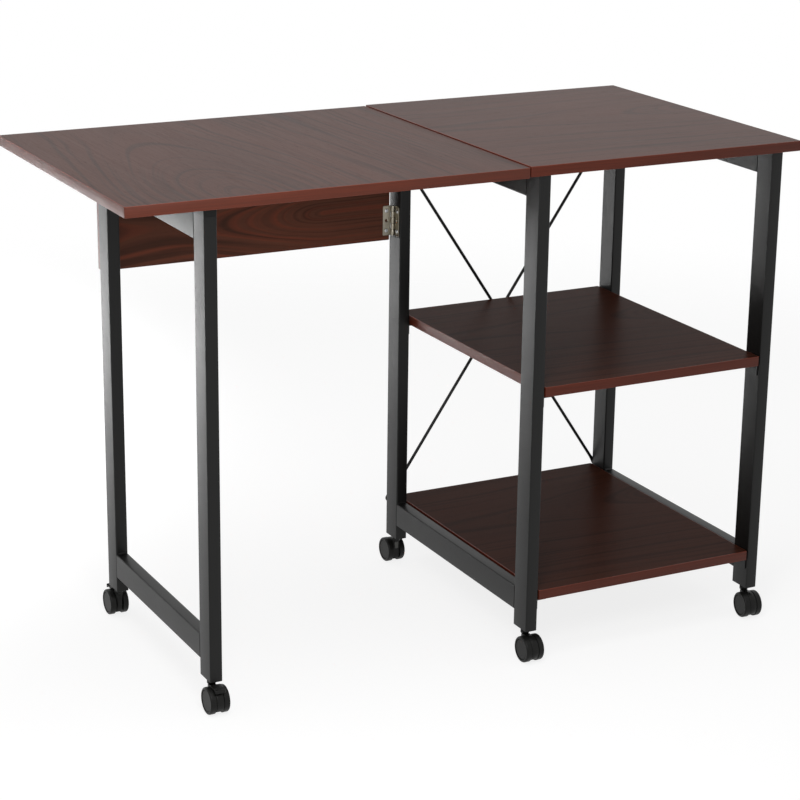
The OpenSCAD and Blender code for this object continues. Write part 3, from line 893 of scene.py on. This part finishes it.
def hinge_plate(mould, place, hinge, first, pack):
    """One plate of a butt hinge in its own frame: pin on Z, plate towards -Y. first is the
    first of its knuckles, and pack is the thickness of the packing behind it."""
    width, off, knuckle, pin, reach, plate = hinge
    turn, start, edge, hole, sink = 1.5 * MM, off + 0.2 * MM, 0.2 * MM, 1.8 * MM, 3.0 * MM
    outline = [(start, 0), *arc(width - turn, turn, turn, -90, 0, 4),
               *arc(width - turn, reach - turn, turn, 0, 90, 4), (start, reach)]
    holes = []
    for k in (-1, 0, 1):
        spot = ((off + width) / 2, reach / 2 + k * reach / 3)
        holes.append((circle(*spot, hole, 28), circle(*spot, hole if k else sink, 28)))
    across = frame_of((0, -1, 0), Z, (-1, 0, 0), (off, 0, 0))
    mould.plate(outline, holes, -pack, plate, place @ across, edge)
    knuckles, gap, slack, lap = 5, 0.4 * MM, 0.08 * MM, 0.4 * MM
    ease, taper, outer_bend, inner_bend = 0.25 * MM, 0.12 * MM, 0.6 * MM, 0.8 * MM
    outer_start, inner_start, mouth = 4, 10, 312  # degrees round the pin
    roll = ([(off, -off - lap), (off, -outer_bend)]
            + arc(0, 0, knuckle, outer_start, mouth, 26)
            + arc(0, 0, pin + slack, mouth, inner_start, 22)
            + [(off - plate, -inner_bend), (off - plate, -off - lap)])
    tight = inset(roll, taper)
    step = reach / knuckles
    for i in range(first, knuckles, 2):
        low, high = i * step + gap / 2, (i + 1) * step - gap / 2
        mould.loft([level(tight, low), level(roll, low + ease), level(roll, high - ease),
                    level(tight, high)], place)


def plate_frame(kind, spot):
    """Frames of the four kinds of plate, at the low end of their pin."""
    ways = {"post": (X, Y, Z), "apron": (Y, X, Z), "leaf": (Z, X, Y),
            "top": (Z, (-1, 0, 0), Y)}
    return frame_of(*ways[kind], spot)


class DESK_OT_hinges(Operator):
    """Build the butt hinges: plates with rolled knuckles, and their pins"""

    bl_idname = "desk.hinges"
    bl_label = "Hinges"

    def execute(self, context):
        looks = context.scene.desk.metal
        nickel = plated("nickel_plate", looks.nickel, looks.nickel_roughness)
        zinc = bpy.data.materials["zinc_plate"]
        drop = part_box("top_board")[0].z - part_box("leaf_board")[0].z
        post_low, post_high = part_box("gate_hinge_post_plates")
        low, high = corners(solids("gate_hinge_pins")[0])
        centre = (low + high) / 2
        width, off, knuckle = centre.y - post_low.y, post_high.x - centre.x, centre.x - post_low.x
        ease = 0.5 * MM
        for name, axis, still, moving in (("gate_hinge", 2, "post", "apron"),
                                          ("leaf_hinge", 1, "top", "leaf")):
            pins = name + "_pins"
            boxes = [corners(points) for points in solids(pins)]
            low, high = boxes[0]
            pin, reach = (high.x - low.x) / 2, high[axis] - low[axis]
            hinge = Hinge(width, off, knuckle, pin, reach, looks.plate)
            spots = []
            for low, high in boxes:
                spot = (low + high) / 2
                spot[axis] = low[axis]
                spots.append(spot)
            for kind, first in ((still, 1), (moving, 0)):
                node = name + "_" + kind + "_plates"
                pack = drop if kind == "top" else 0.0
                mould = Mould()
                for spot in spots:
                    hinge_plate(mould, plate_frame(kind, spot), hinge, first, pack)
                put(mould.piece(node + "_rolled", [nickel]), node)
            mould = Mould()
            profile = [(0, 0), (pin - ease, 0), (pin, ease), (pin, reach - ease),
                       (pin - ease, reach), (0, reach)]
            for spot in spots:
                mould.turned(profile, plate_frame("post" if axis == 2 else "leaf", spot), 32)
            put(mould.piece(pins + "_headed", [zinc]), pins)
        return {"FINISHED"}


# Casters

TREAD, DISC, GROOVE = range(3)


def caster_frame(key):
    """Frame on the floor under the stem, with X along the axle and -Y towards the wheels,
    and how far the axle trails."""
    pivot = next(Vector(j["pos_m"]) for j in frame["joints"] if j["name"] == key + "_swivel")
    low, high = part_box(key + "_caster_wheels")
    back = Vector((pivot.x - (low.x + high.x) / 2, pivot.y - (low.y + high.y) / 2, 0))
    way = back.normalized()
    return frame_of(way.cross(Vector(Z)), way, Z, (pivot.x, pivot.y, 0)), back.length


def axle_frame(trail, radius, way=1, side=1):
    """Frame on the axle's middle, in a caster's frame: X towards the stem, or away from it
    where way is -1, Y up, and Z out along the axle to one side."""
    return frame_of((0, way, 0), Z, (side, 0, 0), (0, -trail, radius))


def wheel_profile(inner, outer, radius, rim, groove):
    """Wheel section as (radius, distance from the caster's middle), from the middle of the
    disc over the rim and the tread to the bore, and what each strip is."""
    bore, hub, edge, cup = 2.5 * MM, 4.4 * MM, radius - 4.2 * MM, radius - 4 * MM
    face, sunk, seat = outer - 0.6 * MM, outer - 1.2 * MM, outer - 2.2 * MM
    well, slope, ease = (inner + outer) / 2, 0.6 * MM, 0.3 * MM
    disc = [(0, face), (edge - groove * 1.2, face), (edge - groove, sunk), (edge, sunk),
            (edge + 0.2 * MM, outer - 0.15 * MM), (edge + 0.5 * MM, outer)]
    soft = [(radius - rim + rim * math.sin(a), outer - rim + rim * math.cos(a))
            for a in quarter(8)]
    inside = [(radius, inner + ease), (radius - ease, inner), (cup, inner), (cup - slope, well),
              (hub + slope, well), (hub, inner), (bore, inner), (bore, seat), (0, seat)]
    strips = [DISC] * 2 + [GROOVE] * 2 + [DISC] * 5 + [TREAD] * 14
    return disc + soft + inside, strips


def hood_outline(x, radius, trail, half, slot):
    """Side outline of a housing at the distance x from its middle, round the axle: forwards
    is away from the stem. slot is the recess for a lever's tongue, or None."""
    hood, clearance, last = radius - 0.6 * MM, 6.5 * MM, 98
    start = math.degrees(math.asin((clearance - radius) / hood))
    lean, spread, steps = 90 - LEVER_LEAN, 14.4, 12
    outline = arc(0, 0, hood, start, lean - spread, 30)
    if slot and abs(x) < slot:
        pin, room = radius - LEVER_PIN, 5 * MM
        for i in range(steps + 1):
            turn = math.radians(spread * (2 * i / steps - 1))
            away = pin * math.cos(turn) - (room ** 2 - (pin * math.sin(turn)) ** 2) ** 0.5
            angle = math.radians(lean) + turn
            outline.append((away * math.cos(angle), away * math.sin(angle)))
    else:
        outline += arc(0, 0, hood, lean - spread, lean + spread, steps)
    outline += arc(0, 0, hood, lean + spread, last, 3)
    back, top, bend, heel = -trail - half, hood - 1 * MM, 3 * MM, 2 * MM
    outline += arc(back + bend, top - bend, bend, 90, 180, 6)
    outline += [(back, heel)] + arc(0, 0, hood, 180, 180 - start, 8)
    squeeze = max(1 - (x / half) ** 2, 0.1) ** 0.5
    return [(u if u > -trail else (u + trail) * squeeze - trail, v) for u, v in outline]


def housing(mould, place, radius, trail, slot):
    """Housing between two wheels, with the boss that turns on the stem."""
    half, split = 5.4 * MM, 0.001 * MM
    stations = [(half, 0.4 * MM), (half - 0.1 * MM, 0.15 * MM), (half - 0.4 * MM, 0)]
    if slot:
        stations += [(slot + split, 0), (slot - split, 0)]
    stations += [(-x, depth) for x, depth in reversed(stations)]
    loops = []
    for x, depth in stations:
        outline = hood_outline(x, radius, trail, half, slot)
        loops.append(level(inset(outline, depth) if depth else outline, x))
    mould.loft(loops, place @ axle_frame(trail, radius, -1))
    # radius and height in millimetres
    boss = [(0, 37.4), (4.9, 37.4), (5.3, 38.6), (5.9, 39.4), (6.5, 40.2), (6.5, 44.2),
            (6.3, 44.6), (5.9, 44.8), (4.5, 44.8), (4.2, 44.5), (4.2, 43.0), (0, 43.0)]
    mould.turned([(r * MM, z * MM) for r, z in boss], place, 48)


def stem(mould, place):
    """Stem with a rounded collar under the post's foot."""
    # all in millimetres
    low, foot, high = 26, 48, 74
    bar, collar, thick, cut, ease = 4, 6, 2, 0.5, 0.4
    under = foot - thick
    profile = [(0, low), (bar - cut, low), (bar, low + cut), (bar, under),
               (collar - ease, under), (collar, under + ease), (collar, foot - ease),
               (collar - ease, foot), (bar, foot), (bar, high - cut), (bar - cut, high),
               (0, high)]
    mould.turned([(r * MM, z * MM) for r, z in profile], place, 40)


class DESK_OT_casters(Operator):
    """Build the twin-wheel casters: discs, treads, axles, housings and stems"""

    bl_idname = "desk.casters"
    bl_label = "Casters"

    def execute(self, context):
        looks = context.scene.desk.casters
        faint, slot = 0.03 * MM, 2.9 * MM
        shell = coated("caster_shell", looks.shell, looks.shell_roughness, looks.sheen, 900,
                       faint)
        disc = coated("caster_disc", looks.disc, looks.disc_roughness, looks.sheen, 1600)
        tread = coated("caster_tread", looks.tread, looks.tread_roughness, looks.sheen, 700)
        groove = coated("caster_groove", looks.tread, looks.groove_roughness,
                        looks.groove_sheen, 900, faint)
        steel = plated("stem_steel", looks.stem, looks.stem_roughness)
        stems = {"caster_stems": Mould(), "gate_caster_stems": Mould()}
        for key in CASTERS:
            place, trail = caster_frame(key)
            radius = self.wheels(key, place, trail, looks, [tread, disc, groove])
            self.axle(key, place, trail, radius)
            mould = Mould()
            housing(mould, place, radius, trail, slot if key in BRAKED else None)
            put(mould.piece(key + "_hood", [shell], 40), key + "_caster_housing")
            stem(stems["gate_caster_stems" if key in BRAKED else "caster_stems"], place)
        for node, mould in stems.items():
            put(mould.piece(node + "_turned", [steel]), node)
        self.rest_pads(shell)
        dress(["post_foot_plugs", "gate_foot_plugs"], shell)
        return {"FINISHED"}

    def wheels(self, key, place, trail, looks, finishes):
        """A caster's two wheels. Returns their radius."""
        node = key + "_caster_wheels"
        inverse = place.inverted()
        halves = [corners([inverse @ p for p in points]) for points in solids(node)]
        outer = max(high.x for low, high in halves)
        inner = min(low.x for low, high in halves if low.x > 0)
        low, high = halves[0]
        radius = (high.z - low.z) / 2
        profile, strips = wheel_profile(inner, outer, radius, looks.rim, looks.groove)
        mould = Mould()
        for side in (1, -1):
            mould.turned(profile, place @ axle_frame(trail, radius, side=side), 72, strips)
        put(mould.piece(key + "_wheel_pair", finishes, 28), node)
        return radius

    def axle(self, key, place, trail, radius):
        """A caster's axle, with eased ends."""
        node = key + "_caster_axle"
        inverse = place.inverted()
        low, high = corners([inverse @ p for p in solids(node)[0]])
        half, bar, ease = high.x, (high.z - low.z) / 2, 0.4 * MM
        mould = Mould()
        mould.turned([(0, -half), (bar - ease, -half), (bar, ease - half), (bar, half - ease),
                      (bar - ease, half), (0, half)], place @ axle_frame(trail, radius), 32)
        put(mould.piece(key + "_axle_rod", [bpy.data.materials["zinc_plate"]]), node)

    def rest_pads(self, shell):
        """The caps on the gate's posts, each a plug with an eased head."""
        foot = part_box("gate_front_post")[1].z
        ease, plug, corner = 1 * MM, 2 * MM, 2.2 * MM
        mould = Mould()
        for points in solids("gate_rest_caps"):
            low, high = corners(points)
            sections = ((plug, low.z), (plug, foot), (0, foot), (0, high.z - ease),
                        (0.3 * ease, high.z - 0.3 * ease), (ease, high.z))
            mould.loft([level(round_box(low.xy, high.xy, depth, corner - depth / 2, 6), z)
                        for depth, z in sections])
        put(mould.piece("gate_rest_pads", [shell]), "gate_rest_caps")


class DESK_OT_levers(Operator):
    """Build the brake levers of the two gate casters: plate, ribs, lip, tongue and pin"""

    bl_idname = "desk.levers"
    bl_label = "Brake levers"

    def execute(self, context):
        shell = bpy.data.materials["caster_shell"]
        lean, travel = math.radians(LEVER_LEAN), math.radians(LEVER_TRAVEL)
        gap = 0.8 * MM
        for key in BRAKED:
            place, trail = caster_frame(key)
            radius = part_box(key + "_caster_wheels")[1].z / 2
            pin = Vector((math.sin(lean), math.cos(lean), 0)) * (radius - LEVER_PIN)
            raised = (place @ axle_frame(trail, radius, -1) @ Matrix.Translation(pin)
                      @ Matrix.Rotation(travel, 4, "Z") @ Matrix.Translation(-pin)
                      @ Matrix.Rotation(-lean, 4, "Z"))
            mould = Mould()
            self.pedal(mould, raised, radius + gap)
            self.tongue(mould, raised, radius - LEVER_PIN, radius + gap)
            put(mould.piece(key + "_lever_pedal", [shell], 30), key + "_brake_lever")
        return {"FINISHED"}

    def pedal(self, mould, raised, low):
        """The plate over the wheels, ribbed across, with a lip at its tip."""
        top, back, tip, half = low + 2.2 * MM, -6 * MM, 15.5 * MM, 8 * MM
        first, pitch, proud, rib_foot, rib_top = 2.2 * MM, 1.6 * MM, 0.35 * MM, 0.5 * MM, 0.2 * MM
        lip, rise, drop, soft = 2.4 * MM, 0.8 * MM, 2.5 * MM, 0.5 * MM
        bend, fullness = 2.5 * MM, 0.8
        foot, root = low - drop, tip - lip
        section = [(back, low), (root - soft, low), (root, low - soft), (root, foot + soft),
                   (root + soft, foot), (tip - soft, foot), (tip, foot + soft),
                   (tip, top + rise - soft), (tip - soft, top + rise),
                   (root + soft, top + rise), (root - soft, top)]
        for k in range(4):
            rib, crest = root - first - k * pitch, top + proud
            section += [(rib + rib_foot, top), (rib + rib_top, crest),
                        (rib - rib_top, crest), (rib - rib_foot, top)]
        section += [(back + soft, top), (back, top - soft)]
        # distance from the middle and how far the section is drawn in there, in millimetres
        stations = ((8.0, 0.5), (7.85, 0.2), (7.5, 0.05), (7.0, 0), (6.4, 0), (5.5, 0))
        loops = []
        for x, depth in stations:
            past = (x * MM - (half - bend)) / bend
            pull = bend * (1 - max(1 - past * past, 0) ** 0.5) * fullness
            shape = inset(section, depth * MM) if depth else section
            loops.append([(u - pull if u > root - soft else max(u, back + pull), v, x * MM)
                          for u, v in shape])
        loops += [[(u, v, -x) for u, v, x in loop] for loop in reversed(loops)]
        mould.loft(loops, raised)

    def tongue(self, mould, raised, root, low):
        """The tongue under the plate, which turns on a pin in the housing's recess."""
        radius, half, ease, pin, reach = 3 * MM, 2.6 * MM, 0.3 * MM, 1.5 * MM, 4.8 * MM
        outline = arc(0, root, radius, 180, 360, 16)
        outline += [(radius, low + MM), (-radius, low + MM)]
        eased = inset(outline, ease)
        mould.loft([level(eased, half), level(outline, half - ease),
                    level(outline, ease - half), level(eased, -half)], raised)
        mould.turned([(0, -reach), (pin, -reach), (pin, reach), (0, reach)],
                     raised @ Matrix.Translation((0, root, 0)), 24)


# Stage

CAMERA_SPOT = (-1.53183, -2.9524, 1.41045)
CAMERA_ANGLES = (27.441, 17.634, 0.738)  # turned right, tipped down and leant, in degrees


def lamp(name, spot, target, side, watts, spread=180):
    """A square lamp. spread is the angle of its beam in degrees."""
    light = bpy.data.lights.new(name, "AREA")
    light.size = side
    light.energy = watts
    light.spread = math.radians(spread)
    made = bpy.data.objects.new(name, light)
    made.location = spot
    made.rotation_euler = (Vector(target) - Vector(spot)).to_track_quat("-Z", "Y").to_euler()
    made.visible_camera = False
    bpy.context.scene.collection.objects.link(made)


def rays(finish, kind):
    """1 for one kind of ray, 0 for the others."""
    return finish.node("ShaderNodeLightPath", {}, {}, "Is " + kind + " Ray")


def seen_rays(finish):
    """1 for the rays of the camera and of reflections, 0 for those that only bring light."""
    seen = rays(finish, "Camera")
    for kind in ("Glossy", "Transmission"):
        seen = seen.at_least(rays(finish, kind))
    return seen


def white_world(strength):
    """Even light from all round, and pure white where the camera or a reflection sees it."""
    world = bpy.data.worlds.new("studio")
    light = Finish(world)
    glow = seen_rays(light) * (1.0 - strength) + strength
    values = {"Color": (1, 1, 1, 1), "Strength": glow}
    light.output(light.node("ShaderNodeBackground", {}, values))
    bpy.context.scene.world = world


def floor_finish(tone, lift, reach):
    """White floor that keeps the shadow, is lifted to plain white and fades out far away."""
    finish = finish_of("studio_floor")
    point = finish.point()
    x, y = finish.axes(point)[:2]
    speckle, brightness, fade = 0.03, 1.15, (0.5, 0.9)
    base = finish.mix(finish.noise(point, 40, 2) * speckle, tone, (1, 1, 1))
    shade = finish.node("ShaderNodeBsdfDiffuse", {}, {"Color": base})
    white = finish.node("ShaderNodeEmission", {}, {"Color": (1, 1, 1, 1), "Strength": brightness})
    lifted = finish.node("ShaderNodeMixShader", {},
                         {0: seen_rays(finish) * lift, 1: shade, 2: white})
    far = ((x * x + y * y) ** 0.5).between(reach * fade[0], reach * fade[1])
    clear = finish.node("ShaderNodeBsdfTransparent", {}, {})
    finish.output(finish.node("ShaderNodeMixShader", {},
                              {0: rays(finish, "Camera") * far, 1: lifted, 2: clear}))
    return finish.owner


class DESK_OT_stage(Operator):
    """Set up the floor, the lamps and the camera"""

    bl_idname = "desk.stage"
    bl_label = "Stage"

    def execute(self, context):
        looks = context.scene.desk.stage
        context.scene.view_settings.view_transform = "Standard"
        white_world(looks.world)
        under = -0.4 * MM
        mould = Mould()
        mould.cap(mould.ring(level(circle(0, 0, looks.reach, 64), under), Matrix()))
        mould.piece("floor", [floor_finish(looks.floor, looks.lift, looks.reach)])
        lamp("key", (-0.3, -0.2, 3.0), (0, 0, 0.4), 2.2, looks.key)
        lamp("front", (-0.62, -1.1, 1.1), (-0.5, -0.1, 0.7), 0.5, looks.front)
        lamp("back", (-1.6, 1.95, 2.2), (-1.6, 1.95, 0), 1.3, looks.back, 66)
        self.camera(context.scene, looks.lens)
        return {"FINISHED"}

    def camera(self, scene, lens):
        yaw, pitch, roll = (math.radians(angle) for angle in CAMERA_ANGLES)
        ahead = Vector((math.sin(yaw) * math.cos(pitch), math.cos(yaw) * math.cos(pitch),
                        -math.sin(pitch)))
        right = Vector((math.cos(yaw), -math.sin(yaw), 0))
        leant = right * math.cos(roll) + right.cross(ahead) * math.sin(roll)
        data = bpy.data.cameras.new("camera")
        data.lens = lens
        data.sensor_width = 36
        data.clip_end = 60
        camera = bpy.data.objects.new("camera", data)
        camera.matrix_world = frame_of(leant, leant.cross(ahead), -ahead, CAMERA_SPOT)
        scene.collection.objects.link(camera)
        scene.camera = camera


# Panel and registration

STEPS = (DESK_OT_boards, DESK_OT_tubes, DESK_OT_screws, DESK_OT_brace, DESK_OT_hinges,
         DESK_OT_casters, DESK_OT_levers, DESK_OT_stage)


class DESK_PT_pieces(Panel):
    """Lists the desk's pieces and their settings"""

    bl_label = "Folding writing desk"
    bl_space_type = "VIEW_3D"
    bl_region_type = "UI"
    bl_category = "Desk"

    def draw(self, context):
        for group in ("boards", "metal", "casters", "stage"):
            box = self.layout.box()
            box.label(text=group.capitalize())
            looks = getattr(context.scene.desk, group)
            for name in looks.bl_rna.properties.keys():
                if name not in ("rna_type", "name"):
                    box.prop(looks, name)
        for step in STEPS:
            self.layout.operator(step.bl_idname)


CLASSES = (BoardSettings, MetalSettings, CasterSettings, StageSettings, DeskSettings, *STEPS,
           DESK_PT_pieces)


def register():
    for kind in CLASSES:
        bpy.utils.register_class(kind)
    bpy.types.Scene.desk = PointerProperty(type=DeskSettings)


def unregister():
    del bpy.types.Scene.desk
    for kind in reversed(CLASSES):
        bpy.utils.unregister_class(kind)


def main():
    register()
    bpy.ops.desk.boards()
    bpy.ops.desk.tubes()
    bpy.ops.desk.screws()
    bpy.ops.desk.brace()
    bpy.ops.desk.hinges()
    bpy.ops.desk.casters()
    bpy.ops.desk.levers()
    bpy.ops.desk.stage()


if __name__ == "__main__":
    main()
